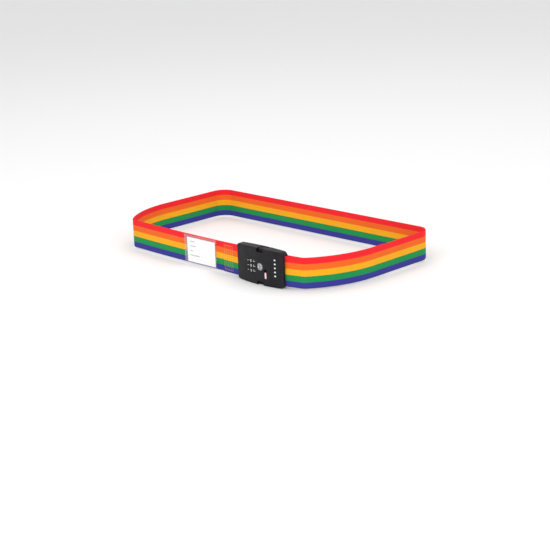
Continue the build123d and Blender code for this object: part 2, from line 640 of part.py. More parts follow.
# ---- Webbing: the loop and the adjustable end ----------------------------------------------
HALF_THICK = WEB_THICK / 2
LAYER_GAP = 0.2
BAR_LEAD = 1.1  # the sloping outer layer starts this much further forward at the bar
LAYER = WEB_THICK + LAYER_GAP
WRAP = PIN_RADIUS + 0.35 + HALF_THICK  # mid-line of the band from a pin's centre
WRAP_FILLET = WRAP - 0.25
SIDE_X = LOOP_WIDTH / 2 - HALF_THICK
BACK_Y = LOOP_DEPTH - HALF_THICK
CORNER = (209.0, 7.4)  # front corner of the mid-line, before rounding
CORNER_RADIUS = 15.3
SWEEP_Y = 61.1  # where the corner's tangent meets the side, before rounding
SWEEP_RADIUS = 172.0
BACK_RADIUS = 24.3
SPLIT_Y = 205.0  # the adjustable end is one piece from here forward
ANCHOR_X = BUCKLE_X + PIN_U
BAR_X = BUCKLE_X + BAR_U
SEWN_END_X = 34.0  # end of the turned-back layer, sewn on the outside
LIFT_X = 34.0  # the band's inner layer bends here, towards the back of the pin
LIFT_Y = 0.95
CROWN_X = -90.0
CROWN_FRONT_RADIUS = 3000.0
TAIL_END_Y = 150.0


def loop_points(points):
    """Route points given from the front of the loop, placed in the model's frame."""
    return [(x, y + WEB_Y) for x, y in points]


main_route = [
    (SEWN_END_X, LIFT_Y - LAYER),
    (ANCHOR_X + WRAP, -WRAP),
    (ANCHOR_X + WRAP, WRAP),
    (LIFT_X, LIFT_Y),
    (CROWN_X, 0.3),
    (-CORNER[0], CORNER[1]),
    (-SIDE_X, SWEEP_Y),
    (-SIDE_X, BACK_Y),
    (SIDE_X, BACK_Y),
    (SIDE_X, SPLIT_Y),
]
main_radii = [
    WRAP_FILLET,
    WRAP_FILLET,
    60.0,
    CROWN_FRONT_RADIUS,
    CORNER_RADIUS,
    SWEEP_RADIUS,
    BACK_RADIUS,
    BACK_RADIUS,
]
bar_y = -BAR_DEPTH
end_route = [
    (SIDE_X, SPLIT_Y),
    (SIDE_X, SWEEP_Y),
    CORNER,
    (BAR_X - WRAP, bar_y - WRAP - BAR_LEAD),
    (BAR_X - WRAP, bar_y + WRAP),
    (CORNER[0] - LAYER, CORNER[1] + LAYER),
    (SIDE_X - LAYER, SWEEP_Y + LAYER / 2),
    (SIDE_X - LAYER, TAIL_END_Y),
]
end_radii = [
    SWEEP_RADIUS,
    CORNER_RADIUS,
    WRAP_FILLET,
    WRAP_FILLET,
    CORNER_RADIUS - LAYER,
    SWEEP_RADIUS - LAYER,
]

for name, route, radii in (
    ("webbing_main", main_route, main_radii),
    ("webbing_adjust_end", end_route, end_radii),
):
    with BuildPart() as webbing:
        with BuildSketch(Plane.XY.offset(WEB_Z - WEB_WIDTH / 2)):
            with BuildLine() as path:
                FilletPolyline(*loop_points(route), radius=radii)
            trace(line_width=WEB_THICK)
        extrude(amount=WEB_WIDTH)
    webbing.part.label = name
    export_step(webbing.part, f"parts/{name}.step")
    length = sum(edge.length for edge in path.edges())
    ratio = webbing.part.volume / (length * WEB_WIDTH * WEB_THICK)
    print(f"{name}: length {length:.1f} mm, volume ratio {ratio:.4f}")

# ---- Name card in its clear pocket ---------------------------------------------------------
POCKET_LEFT = -62.0
POCKET_RIGHT = 16.5
POCKET_HEIGHT = 48.0
POCKET_BACK = 0.5  # depth of the pocket's back face, clear of the crowned band
POCKET_SHEET = 0.4
CARD_LEFT = -54.5
CARD_RIGHT = 14.0
CARD_HEIGHT = 42.5
CARD_THICK = 0.5
CARD_DROP = 1.45
CARD_CLEAR = 0.15
POCKET_THICK = 2 * POCKET_SHEET + CARD_THICK + 2 * CARD_CLEAR
CARD_BOTTOM = WEB_Z - CARD_DROP - CARD_HEIGHT / 2

with BuildPart() as id_window:
    with BuildSketch(Plane(origin=(0, WEB_Y - POCKET_BACK, WEB_Z), x_dir=(1, 0, 0), z_dir=(0, -1, 0))):
        with Locations(((POCKET_LEFT + POCKET_RIGHT) / 2, 0)):
            RectangleRounded(POCKET_RIGHT - POCKET_LEFT, POCKET_HEIGHT, 2.0)
    extrude(amount=POCKET_THICK)
    # the pocket's inside, open at the top
    with BuildSketch(Plane(
        origin=(0, WEB_Y - POCKET_BACK - POCKET_SHEET, CARD_BOTTOM - CARD_CLEAR),
        x_dir=(1, 0, 0),
        z_dir=(0, -1, 0),
    )):
        with Locations(((CARD_LEFT + CARD_RIGHT) / 2, POCKET_HEIGHT / 2)):
            Rectangle(CARD_RIGHT - CARD_LEFT + 4 * CARD_CLEAR, POCKET_HEIGHT)
    extrude(amount=CARD_THICK + 2 * CARD_CLEAR, mode=Mode.SUBTRACT)
id_window.part.label = "id_window"
export_step(id_window.part, "parts/id_window.step")

with BuildPart() as id_card:
    with BuildSketch(Plane(
        origin=(0, WEB_Y - POCKET_BACK - POCKET_SHEET - CARD_CLEAR, CARD_BOTTOM),
        x_dir=(1, 0, 0),
        z_dir=(0, -1, 0),
    )):
        with Locations(((CARD_LEFT + CARD_RIGHT) / 2, CARD_HEIGHT / 2)):
            RectangleRounded(CARD_RIGHT - CARD_LEFT, CARD_HEIGHT, 1.0)
    extrude(amount=CARD_THICK)
id_card.part.label = "id_card"
export_step(id_card.part, "parts/id_card.step")
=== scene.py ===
import math

import bmesh
import bpy
from mathutils import Matrix, Vector


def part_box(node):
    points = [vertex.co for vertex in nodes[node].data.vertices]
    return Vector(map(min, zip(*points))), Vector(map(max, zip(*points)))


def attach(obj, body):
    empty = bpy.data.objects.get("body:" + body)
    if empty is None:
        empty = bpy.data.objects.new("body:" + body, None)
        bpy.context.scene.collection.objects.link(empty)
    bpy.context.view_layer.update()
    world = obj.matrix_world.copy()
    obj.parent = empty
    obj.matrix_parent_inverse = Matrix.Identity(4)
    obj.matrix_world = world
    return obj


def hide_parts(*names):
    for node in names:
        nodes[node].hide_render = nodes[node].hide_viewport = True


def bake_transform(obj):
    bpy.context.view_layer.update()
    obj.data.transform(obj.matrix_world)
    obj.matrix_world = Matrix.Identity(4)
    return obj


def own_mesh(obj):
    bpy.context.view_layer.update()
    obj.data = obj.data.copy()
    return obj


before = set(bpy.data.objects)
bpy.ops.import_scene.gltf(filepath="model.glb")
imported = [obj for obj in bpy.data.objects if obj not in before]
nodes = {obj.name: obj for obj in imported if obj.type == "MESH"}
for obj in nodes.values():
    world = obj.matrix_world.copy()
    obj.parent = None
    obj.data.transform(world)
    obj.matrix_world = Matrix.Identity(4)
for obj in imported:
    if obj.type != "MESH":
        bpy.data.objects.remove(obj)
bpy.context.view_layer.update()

scene = bpy.context.scene

# ---- Places taken from the frame, in metres ------------------------------------------
MM = 0.001
web_low, web_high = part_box("webbing_main")
end_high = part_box("webbing_adjust_end")[1]
pin_low, pin_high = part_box("webbing_pin")
bar_low, bar_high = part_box("grip_bar")
shell_low, shell_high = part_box("lock_back_shell")
plug_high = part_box("plug_back_shell")[1]
card_low, card_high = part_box("id_card")
pocket_low, pocket_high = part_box("id_window")
front_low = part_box("lock_front_shell")[0]

WEB_THICK = 1.4 * MM
WEB_WIDTH = web_high[2] - web_low[2]
WEB_Z = (web_high[2] + web_low[2]) / 2
LOOP_DEPTH = 270 * MM
WEB_Y = web_high[1] - LOOP_DEPTH  # the band's outer face at the middle of the front
MID_Z = (shell_high[2] + shell_low[2]) / 2
BUCKLE_X = (shell_low[0] + plug_high[0]) / 2
CROWN_RISE = WEB_Y - front_low[1]
END_RISE = 7 * MM
BUCKLE_HALF = (plug_high[0] - shell_low[0]) / 2
CROWN_RADIUS = (BUCKLE_HALF**2 + (CROWN_RISE - END_RISE) ** 2) / (2 * (CROWN_RISE - END_RISE))


def face_y(u):
    """Y of the buckle's crowned front at a distance u from the buckle's middle."""
    return WEB_Y - (CROWN_RISE - CROWN_RADIUS + math.sqrt(CROWN_RADIUS**2 - u**2))


def face_slope(u):
    """Turn about Z of the crowned front at u, in radians."""
    return math.asin(u / CROWN_RADIUS)


# ---- Small helpers --------------------------------------------------------------------
def linear(red, green, blue):
    """A colour given in 0..255 display values, as linear RGBA."""
    def one(value):
        value /= 255
        return value / 12.92 if value <= 0.04045 else ((value + 0.055) / 1.055) ** 2.4

    return (one(red), one(green), one(blue), 1.0)


def mesh_object(name, vertices, faces, smooth=True):
    """A new mesh object in the scene."""
    mesh = bpy.data.meshes.new(name)
    mesh.from_pydata([tuple(v) for v in vertices], [], faces)
    mesh.validate()
    mesh.polygons.foreach_set("use_smooth", [smooth] * len(mesh.polygons))
    made = bpy.data.objects.new(name, mesh)
    scene.collection.objects.link(made)
    return made


def tidy_normals(piece):
    """Turns every face outward, and keeps end faces with many corners flat."""
    bm = bmesh.new()
    bm.from_mesh(piece.data)
    bmesh.ops.recalc_face_normals(bm, faces=bm.faces)
    for face in bm.faces:
        if len(face.verts) > 4:
            face.smooth = False
            for edge in face.edges:
                edge.smooth = False
    bm.to_mesh(piece.data)
    bm.free()


def loft(faces, first, rings, size):
    """Joins rings of vertices, size of them to a ring, with quads, and closes both ends."""
    for ring in range(rings - 1):
        for corner in range(size):
            a = first + ring * size + corner
            b = first + ring * size + (corner + 1) % size
            faces.append((a, b, b + size, a + size))
    last = first + (rings - 1) * size
    faces.append(tuple(reversed(range(first, first + size))))
    faces.append(tuple(range(last, last + size)))


BLOCK_FACES = ((0, 1, 2, 3), (7, 6, 5, 4), (0, 4, 5, 1), (1, 5, 6, 2), (2, 6, 7, 3), (3, 7, 4, 0))


def block(vertices, faces, outline, y, depth):
    """Adds a flat-faced block: its outline is four (x, z) corners, anticlockwise from the front."""
    first = len(vertices)
    vertices += [(x, place, z) for place in (y, y + depth) for x, z in outline]
    faces += [tuple(first + corner for corner in face) for face in BLOCK_FACES]


def paint(piece, material):
    """Gives a piece one material."""
    piece.data.materials.clear()
    piece.data.materials.append(material)


def scaled(colour, factor, lift=0.0):
    """A lighter or darker colour: each channel times factor, plus lift."""
    return tuple(min(1, channel * factor + lift) for channel in colour[:3]) + (1,)


# where the Mix node keeps its two colours and their result
MIX_FIRST, MIX_SECOND, MIX_RESULT = 6, 7, 2


class Shader:
    """A node material with short calls for the nodes that this scene uses."""

    def __init__(self, name, **sockets):
        self.material = bpy.data.materials.new(name)
        self.material.use_nodes = True
        self.tree = self.material.node_tree
        self.surface = self.tree.nodes["Principled BSDF"]
        for socket, value in sockets.items():
            self.surface.inputs[socket.replace("_", " ")].default_value = value

    def node(self, kind, **settings):
        made = self.tree.nodes.new(kind)
        for key, value in settings.items():
            setattr(made, key, value)
        return made

    def link(self, source, target):
        self.tree.links.new(source, target)

    def place(self, scale=(1, 1, 1)):
        """Object coordinates in metres, stretched by scale."""
        coordinates = self.node("ShaderNodeTexCoord")
        mapping = self.node("ShaderNodeMapping")
        mapping.inputs["Scale"].default_value = scale
        self.link(coordinates.outputs["Object"], mapping.inputs["Vector"])
        return mapping.outputs["Vector"]

    def noise(self, scale, detail=4.0, stretch=(1, 1, 1)):
        made = self.node("ShaderNodeTexNoise")
        made.inputs["Scale"].default_value = scale
        made.inputs["Detail"].default_value = detail
        self.link(self.place(stretch), made.inputs["Vector"])
        return made.outputs["Fac"]

    def math(self, operation, first, second=0.0, third=0.0):
        made = self.node("ShaderNodeMath", operation=operation)
        for socket, value in zip(made.inputs, (first, second, third)):
            if isinstance(value, (int, float)):
                socket.default_value = value
            else:
                self.link(value, socket)
        return made.outputs[0]

    def spread(self, value, low, high):
        """Maps 0..1 onto low..high."""
        return self.math("MULTIPLY_ADD", value, high - low, low)

    def ramp(self, value, stops, interpolation="LINEAR"):
        made = self.node("ShaderNodeValToRGB")
        made.color_ramp.interpolation = interpolation
        elements = made.color_ramp.elements
        while len(elements) < len(stops):
            elements.new(1.0)
        for element, (position, colour) in zip(elements, stops):
            element.position = position
            element.color = colour
        self.link(value, made.inputs["Fac"])
        return made.outputs["Color"]

    def mix(self, factor, first, second, blend="MIX"):
        made = self.node("ShaderNodeMix", data_type="RGBA", blend_type=blend)
        sockets = (made.inputs["Factor"], made.inputs[MIX_FIRST], made.inputs[MIX_SECOND])
        for socket, value in zip(sockets, (factor, first, second)):
            if isinstance(value, (int, float, tuple)):
                socket.default_value = value
            else:
                self.link(value, socket)
        return made.outputs[MIX_RESULT]

    def bump(self, height, distance, strength=1.0):
        made = self.node("ShaderNodeBump")
        made.inputs["Distance"].default_value = distance
        made.inputs["Strength"].default_value = strength
        self.link(height, made.inputs["Height"])
        self.link(made.outputs["Normal"], self.surface.inputs["Normal"])

    def colour(self, value):
        self.link(value, self.surface.inputs["Base Color"])

    def roughness(self, value):
        self.link(value, self.surface.inputs["Roughness"])


# ---- Materials --------------------------------------------------------------------------
RED = linear(250, 38, 46)
ORANGE = linear(247, 108, 36)
AMBER = linear(252, 178, 28)
GREEN = linear(30, 150, 78)
VIOLET = linear(58, 60, 152)
STRIPES = (VIOLET, GREEN, AMBER, ORANGE, RED)  # from the band's lower edge up


def webbing_material():
    """Twill-woven polyester band: five stripes by height, ribs, picks and a soft sheen."""
    web = Shader("webbing", Sheen_Weight=0.03, Sheen_Roughness=0.5, Specular_IOR_Level=0.12)
    coordinates = web.node("ShaderNodeUVMap", uv_map="band")
    split = web.node("ShaderNodeSeparateXYZ")
    web.link(coordinates.outputs["UV"], split.inputs[0])
    along, up = split.outputs["X"], split.outputs["Y"]  # metres along, and 0..1 up the band
    pick = 1.1 * MM
    rib_count = 26
    picks = web.math("MULTIPLY", along, 2 * math.pi / pick)
    ribs = web.math("MULTIPLY", up, 2 * math.pi * rib_count)
    # one thread's worth of waver where two stripes meet
    waver = web.math("MULTIPLY_ADD", web.math("SINE", picks), 0.006, up)
    stops = [(index / len(STRIPES), colour) for index, colour in enumerate(STRIPES)]
    stripes = web.ramp(waver, stops, "CONSTANT")
    diagonal = web.math("SINE", web.math("ADD", picks, ribs))
    counter = web.math("SINE", web.math("SUBTRACT", ribs, picks))
    twill = web.math("MULTIPLY_ADD", web.math("MULTIPLY", diagonal, counter), 0.5, 0.5)
    rib = web.math("MULTIPLY_ADD", web.math("SINE", ribs), 0.5, 0.5)
    fibre = web.noise(2600, 3.0, (1, 1, 3))
    soiling = web.noise(14, 5.0)
    shade = web.math("MULTIPLY_ADD", twill, 0.22, 0.80)
    shade = web.math("MULTIPLY", shade, web.spread(fibre, 0.86, 1.14))
    shade = web.math("MULTIPLY", shade, web.spread(soiling, 0.90, 1.08))
    grey = web.node("ShaderNodeCombineColor")
    for socket in ("Red", "Green", "Blue"):
        web.link(shade, grey.inputs[socket])
    web.colour(web.mix(1.0, stripes, grey.outputs["Color"], "MULTIPLY"))
    web.roughness(web.spread(fibre, 0.62, 0.85))
    height = web.math("MULTIPLY_ADD", rib, 0.45, twill)
    height = web.math("MULTIPLY_ADD", fibre, 0.3, height)
    web.bump(height, 0.16 * MM, 0.8)
    return web.material


def moulded(name, colour, low=0.42, high=0.6, grain=0.02 * MM, **sockets):
    """Spark-textured moulding: fine grain, faint mottling and handling marks in the gloss."""
    plastic = Shader(name, **sockets)
    mottling = plastic.noise(90, 4.0)
    stops = [(0.3, scaled(colour, 0.8)), (0.7, scaled(colour, 1.25, 0.002))]
    plastic.colour(plastic.ramp(mottling, stops))
    rubs = plastic.noise(260, 6.0, (1, 1, 5))
    plastic.roughness(plastic.spread(rubs, low, high))
    fine = plastic.noise(5200, 2.0)
    plastic.bump(fine, grain, 0.7)
    return plastic.material


def metal(name, colour, low=0.22, high=0.42, stretch=(1, 1, 12)):
    """Worked metal with fine lines along one way and slight tarnish."""
    worked = Shader(name, Metallic=1.0)
    tarnish = worked.noise(160, 5.0)
    worked.colour(worked.ramp(tarnish, [(0.35, scaled(colour, 0.72)), (0.65, colour)]))
    lines = worked.noise(1800, 3.0, stretch)
    worked.roughness(worked.spread(lines, low, high))
    worked.bump(lines, 0.01 * MM, 0.5)
    return worked.material


def card_material():
    """Coated paper card: near-white, faint mottling and fibre relief."""
    card = Shader("card_paper", Specular_IOR_Level=0.4)
    mottling = card.noise(400, 5.0)
    card.colour(card.ramp(mottling, [(0.3, linear(240, 240, 240)), (0.7, linear(253, 252, 250))]))
    card.roughness(card.spread(card.noise(1500, 3.0), 0.45, 0.65))
    card.bump(card.noise(4000, 3.0), 0.01 * MM, 0.6)
    return card.material


def clear_material():
    """Clear flexible vinyl: mostly see-through, glossy, with faint ripples and scuffs."""
    clear = Shader("clear_pvc", IOR=1.45, Specular_IOR_Level=0.5, Alpha=0.06)
    scuffs = clear.noise(320, 6.0, (1, 1, 3))
    clear.colour(clear.ramp(scuffs, [(0.4, linear(236, 240, 244)), (0.7, linear(252, 253, 255))]))
    clear.roughness(clear.spread(scuffs, 0.08, 0.24))
    clear.bump(clear.noise(70, 2.0), 0.12 * MM, 0.5)
    clear.material.surface_render_method = "BLENDED"
    return clear.material


def thread_material(name, colour):
    """Twisted sewing thread."""
    thread = Shader(name, Sheen_Weight=0.2)
    strands = thread.noise(3000, 2.0)
    thread.colour(thread.ramp(strands, [(0.35, scaled(colour, 0.7)), (0.65, colour)]))
    thread.roughness(thread.spread(strands, 0.5, 0.75))
    thread.bump(strands, 0.05 * MM, 0.6)
    return thread.material


def reset_material():
    """Two-shot moulding: a pale pad in a rose button, which stands on a charcoal slide plate."""
    low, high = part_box("reset_slider")
    straight_half = 3.35 * MM  # from the button's middle to the centres of its round ends
    pad_radius = 1.75 * MM
    plate_front = low[1] + 2.0 * MM  # Y between the button and the plate
    slide = Shader("reset_plastic", Specular_IOR_Level=0.3)
    mottling = slide.noise(300, 4.0)
    pale = slide.ramp(mottling, [(0.3, linear(222, 198, 204)), (0.7, linear(240, 220, 225))])
    rose = slide.ramp(mottling, [(0.3, linear(112, 52, 66)), (0.7, linear(126, 62, 76))])
    plate = slide.ramp(mottling, [(0.3, linear(18, 18, 20)), (0.7, linear(24, 24, 27))])
    position = slide.node("ShaderNodeSeparateXYZ")
    slide.link(slide.place(), position.inputs[0])
    across = slide.math("SUBTRACT", position.outputs["X"], (low[0] + high[0]) / 2)
    up = slide.math("SUBTRACT", position.outputs["Z"], (low[2] + high[2]) / 2)
    past = slide.math("SUBTRACT", slide.math("ABSOLUTE", up), straight_half)
    past = slide.math("MAXIMUM", past, 0.0)
    square = slide.math("MULTIPLY_ADD", across, across, slide.math("MULTIPLY", past, past))
    rim = slide.math("GREATER_THAN", slide.math("SQRT", square), pad_radius)
    behind = slide.math("GREATER_THAN", position.outputs["Y"], plate_front)
    slide.colour(slide.mix(behind, slide.mix(rim, pale, rose), plate))
    slide.roughness(slide.spread(slide.noise(700, 5.0), 0.3, 0.48))
    slide.bump(slide.noise(5200, 2.0), 0.01 * MM, 0.6)
    return slide.material


WEBBING = webbing_material()
SHELL = moulded("shell_plastic", linear(27, 26, 29), 0.40, 0.58, Specular_IOR_Level=0.17)
BACK = moulded("back_plastic", linear(22, 22, 25), 0.45, 0.65, Specular_IOR_Level=0.17)
ARM = moulded("arm_plastic", linear(13, 13, 15), 0.4, 0.6, Specular_IOR_Level=0.15)
DIAL = moulded("dial_plastic", linear(17, 17, 19), 0.3, 0.5, Specular_IOR_Level=0.25)
RING = moulded("key_ring", linear(58, 58, 62), 0.25, 0.4, 0.01 * MM)
MARK = moulded("printed_mark", linear(222, 222, 222), 0.5, 0.7, 0.01 * MM)
RESET = reset_material()
GREY_INK = moulded("grey_ink", linear(168, 170, 172), 0.6, 0.8, 0.01 * MM)
PALE_INK = moulded("pale_ink", linear(214, 216, 219), 0.6, 0.8, 0.01 * MM)
CARD = card_material()
CLEAR = clear_material()
AMBER_THREAD = thread_material("amber_thread", linear(253, 196, 110))
CLEAR_THREAD = thread_material("grey_thread", linear(196, 190, 190))
SPRING = metal("spring_steel", linear(180, 180, 186), 0.2, 0.36, (1, 1, 1))
FINISHES = {
    SHELL: ["lock_front_shell", "plug_front_shell"],
    BACK: ["lock_back_shell", "plug_back_shell"],
    ARM: ["plug_arm_top", "plug_arm_bottom"],
    DIAL: ["dial_1", "dial_2", "dial_3"],
    RING: ["key_cylinder_body"],
    RESET: ["reset_slider"],
    CARD: ["id_card"],
    metal("brass", linear(196, 160, 96)): ["dial_sleeve_1", "dial_sleeve_2", "dial_sleeve_3"],
    metal("screw_steel", linear(120, 120, 126), 0.3, 0.5): ["lock_screws", "plug_screws"],
    metal("pin_steel", linear(196, 197, 200)): ["webbing_pin", "grip_bar", "lock_shaft"],
    metal("sheet_steel", linear(176, 178, 182), 0.28, 0.5): [
        "dial_frame", "shaft_foot", "key_cam", "reset_link",
    ],
    SPRING: ["detent_spring", "key_clip"],
    metal("key_metal", linear(206, 206, 208), 0.25, 0.4, (1, 1, 1)): ["key_plug"],
}
for finish, names in FINISHES.items():
    for name in names:
        paint(nodes[name], finish)

# ---- The band's route ---------------------------------------------------------------------
HALF = WEB_THICK / 2
LAYER = WEB_THICK + 0.2 * MM  # from one layer of the band to the next
SIDE_X = web_high[0] - HALF
BACK_Y = web_high[1] - HALF
ANCHOR = Vector(((pin_low[0] + pin_high[0]) / 2, (pin_low[1] + pin_high[1]) / 2))
BAR = Vector(((bar_low[0] + bar_high[0]) / 2, (bar_low[1] + bar_high[1]) / 2))
PIN_GAP = 0.35 * MM
WRAP = (pin_high[0] - pin_low[0]) / 2 + PIN_GAP + HALF
WRAP_FILLET = WRAP - 0.25 * MM
CORNER = Vector((209.0, 7.4)) * MM  # where the front turns towards the side
CORNER_RADIUS = 15.3 * MM
SWEEP_Y = WEB_Y + 61.1 * MM  # where the side's long curve turns straight back
SWEEP_RADIUS = 172 * MM
BACK_RADIUS = 24.3 * MM
SPLIT_Y = end_high[1]  # where the two pieces of webbing meet, end to end
LIFT = Vector((34 * MM, WEB_Y + 0.95 * MM))  # where the band starts to rise to the lock
LIFT_RADIUS = 60 * MM
BOW = Vector((-90 * MM, WEB_Y + 0.3 * MM))  # the faint bend in the front run
BOW_RADIUS = 3000 * MM
BAR_LEAD = 1.1 * MM  # how far the outer layer keeps ahead of the grip bar's near side
TAIL_END_Y = WEB_Y + 150 * MM

MAIN_ROUTE = [
    ((LIFT.x, LIFT.y - LAYER), 0),
    ((ANCHOR.x + WRAP, ANCHOR.y - WRAP), WRAP_FILLET),
    ((ANCHOR.x + WRAP, ANCHOR.y + WRAP), WRAP_FILLET),
    ((LIFT.x, LIFT.y), LIFT_RADIUS),
    ((BOW.x, BOW.y), BOW_RADIUS),
    ((-CORNER.x, WEB_Y + CORNER.y), CORNER_RADIUS),
    ((-SIDE_X, SWEEP_Y), SWEEP_RADIUS),
    ((-SIDE_X, BACK_Y), BACK_RADIUS),
    ((SIDE_X, BACK_Y), BACK_RADIUS),
    ((SIDE_X, SPLIT_Y), 0),
]
END_ROUTE = [
    ((SIDE_X, SPLIT_Y), 0),
    ((SIDE_X, SWEEP_Y), SWEEP_RADIUS),
    ((CORNER.x, WEB_Y + CORNER.y), CORNER_RADIUS),
    ((BAR.x - WRAP, BAR.y - WRAP - BAR_LEAD), WRAP_FILLET),
    ((BAR.x - WRAP, BAR.y + WRAP), WRAP_FILLET),
    ((CORNER.x - LAYER, WEB_Y + CORNER.y + LAYER), CORNER_RADIUS - LAYER),
    ((SIDE_X - LAYER, SWEEP_Y + LAYER / 2), SWEEP_RADIUS - LAYER),
    ((SIDE_X - LAYER, TAIL_END_Y), 0),
]


def rounded_route(route, step):
    """Points and headings along straight runs joined by tangent arcs, about step apart."""
    corners = [Vector(point) for point, _ in route]
    stations = []

    def run(start, stop):
        length = (stop - start).length
        count = max(1, round(length / step))
        heading = (stop - start).normalized()
        for index in range(count):
            stations.append((start.lerp(stop, index / count), heading))

    here = corners[0]
    for index in range(1, len(corners) - 1):
        before = (corners[index] - corners[index - 1]).normalized()
        after = (corners[index + 1] - corners[index]).normalized()
        turn = before.angle_signed(after)
        radius = route[index][1]
        tangent = radius * math.tan(abs(turn) / 2)
        start = corners[index] - before * tangent
        run(here, start)
        side = 1 if turn < 0 else -1
        normal = Vector((-before.y, before.x)) * side
        centre = start + normal * radius
        count = max(6, round(radius * abs(turn) / step))
        for part in range(count):
            angle = -turn * part / count
            arm = Matrix.Rotation(angle, 2) @ (start - centre)
            stations.append((centre + arm, Matrix.Rotation(angle, 2) @ before))
        here = corners[index] + after * tangent
    run(here, corners[-1])
    stations.append((corners[-1], (corners[-1] - here).normalized()))
    return stations


def band_section():
    """Half-thickness offsets and heights round the band's section, with fuller selvages."""
    rows = 40
    selvage = 1.6 * MM
    full = 0.98  # of the half-thickness, at the selvage's inner edge
    thinnest = 0.25
    middle_dip = 0.10
    dip_run = 2 * MM
    outer = []
    for row in range(rows + 1):
        height = -WEB_WIDTH / 2 + WEB_WIDTH * row / rows
        edge = WEB_WIDTH / 2 - abs(height)
        if edge < selvage:
            offset = HALF * math.sqrt(max(0.0, 1 - (1 - edge / selvage) ** 2)) * full
            offset = max(offset, HALF * thinnest)
        else:
            dip = min(1.0, (edge - selvage) / dip_run)
            offset = HALF * (full - middle_dip * dip)
        outer.append((offset, height))
    inner = [(-offset, height) for offset, height in reversed(outer)]
    return outer + inner


def band(name, route):
    """A closed ribbon of webbing on edge along a route, with lengths kept in its UV map."""
    stations = rounded_route(route, 2.5 * MM)
    section = band_section()
    size = len(section)
    vertices = []
    lengths = [0.0]
    for index, (point, heading) in enumerate(stations):
        if index:
            lengths.append(lengths[-1] + (point - stations[index - 1][0]).length)
        outward = Vector((heading.y, -heading.x))
        for offset, height in section:
            place = point + outward * offset
            vertices.append((place.x, place.y, WEB_Z + height))
    faces = []
    loft(faces, 0, len(stations), size)
    made = mesh_object(name, vertices, faces)
    uv = made.data.uv_layers.new(name="band")
    for loop in made.data.loops:
        index, corner = divmod(loop.vertex_index, size)
        uv.data[loop.index].uv = (lengths[index], section[corner][1] / WEB_WIDTH + 0.5)
    tidy_normals(made)
    paint(made, WEBBING)
    return made, lengths[-1]


main_band, main_length = band("band_main", MAIN_ROUTE)
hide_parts("webbing_main")
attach(main_band, "lock")

end_band, end_length = band("band_adjust_end", END_ROUTE)
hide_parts("webbing_adjust_end")
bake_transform(end_band)


# ---- Stitching -----------------------------------------------------------------------------
def capsule(vertices, faces, start, stop, radius):
    """Adds one stitch: a short rounded bar of thread that dips into the cloth at its ends."""
    around, along = 8, 6
    axis = (stop - start).normalized()
    side = axis.cross(Vector((0, 1, 0)))
    if side.length < 0.1:
        side = axis.cross(Vector((0, 0, 1)))
    side.normalize()
    over = axis.cross(side)
    first = len(vertices)
    for ring in range(along + 1):
        t = ring / along
        swell = max(0.15, math.sin(math.pi * t) ** 0.5)
        centre = start.lerp(stop, t)
        for spoke in range(around):
            angle = 2 * math.pi * spoke / around
            vertices.append(centre + (side * math.cos(angle) + over * math.sin(angle)) * radius * swell)
    loft(faces, first, along + 1, around)


def stitch_rows(name, rows, pitch, radius, material):
    """Rows of stitches, each row from one point to another, joined in one piece."""
    gap = 0.12  # of the pitch, at each end of a stitch
    vertices, faces = [], []
    for start, stop in rows:
        start, stop = Vector(start), Vector(stop)
        count = max(1, round((stop - start).length / pitch))
        for index in range(count):
            a = start.lerp(stop, (index + gap) / count)
            b = start.lerp(stop, (index + 1 - gap) / count)
            capsule(vertices, faces, a, b, radius)
    made = mesh_object(name, vertices, faces)
    paint(made, material)
    return made


def sewn_point(x, height):
    """A point on the outside of the turned-back layer, between its sewn end and the lock."""
    share = (x - LIFT.x) / (ANCHOR.x + WRAP - LIFT.x)
    start = LIFT.y - LAYER - HALF
    stop = ANCHOR.y - WRAP - HALF
    return (x, start + (stop - start) * share, height)


SEW_LEFT, SEW_RIGHT = LIFT.x + 3 * MM, LIFT.x + 23 * MM
SEW_ROWS = 5
SEAM_HALF = 21 * MM
SEAM_LOW, SEAM_HIGH = WEB_Z - SEAM_HALF, WEB_Z + SEAM_HALF
STITCH = 2.2 * MM
THREAD_RADIUS = 0.28 * MM
HEM_INSETS = (4 * MM, 8 * MM)

sewn_rows = []
for row in range(SEW_ROWS):
    x = SEW_LEFT + (SEW_RIGHT - SEW_LEFT) * row / (SEW_ROWS - 1)
    sewn_rows.append((sewn_point(x, SEAM_LOW), sewn_point(x, SEAM_HIGH)))
for height in (SEAM_LOW, SEAM_HIGH):
    sewn_rows.append((sewn_point(SEW_LEFT, height), sewn_point(SEW_RIGHT, height)))
sewn = stitch_rows("sewn_end_stitches", sewn_rows, STITCH, THREAD_RADIUS, AMBER_THREAD)
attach(sewn, "lock")

hem_x = SIDE_X - LAYER - HALF
hem_rows = []
for inset in HEM_INSETS:
    y = TAIL_END_Y - inset
    hem_rows.append(((hem_x, y, SEAM_LOW), (hem_x, y, SEAM_HIGH)))
hem = stitch_rows("tail_hem_stitches", hem_rows, STITCH, THREAD_RADIUS, AMBER_THREAD)
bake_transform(hem)


# ---- Name card pocket ----------------------------------------------------------------------
WELT = 3.5 * MM
WELT_DEPTH = 0.55 * MM
SHEET_THICK = 0.30 * MM
RIPPLE = 0.10 * MM
RIPPLES_X, RIPPLES_Z = 210, 260  # in radians to the metre


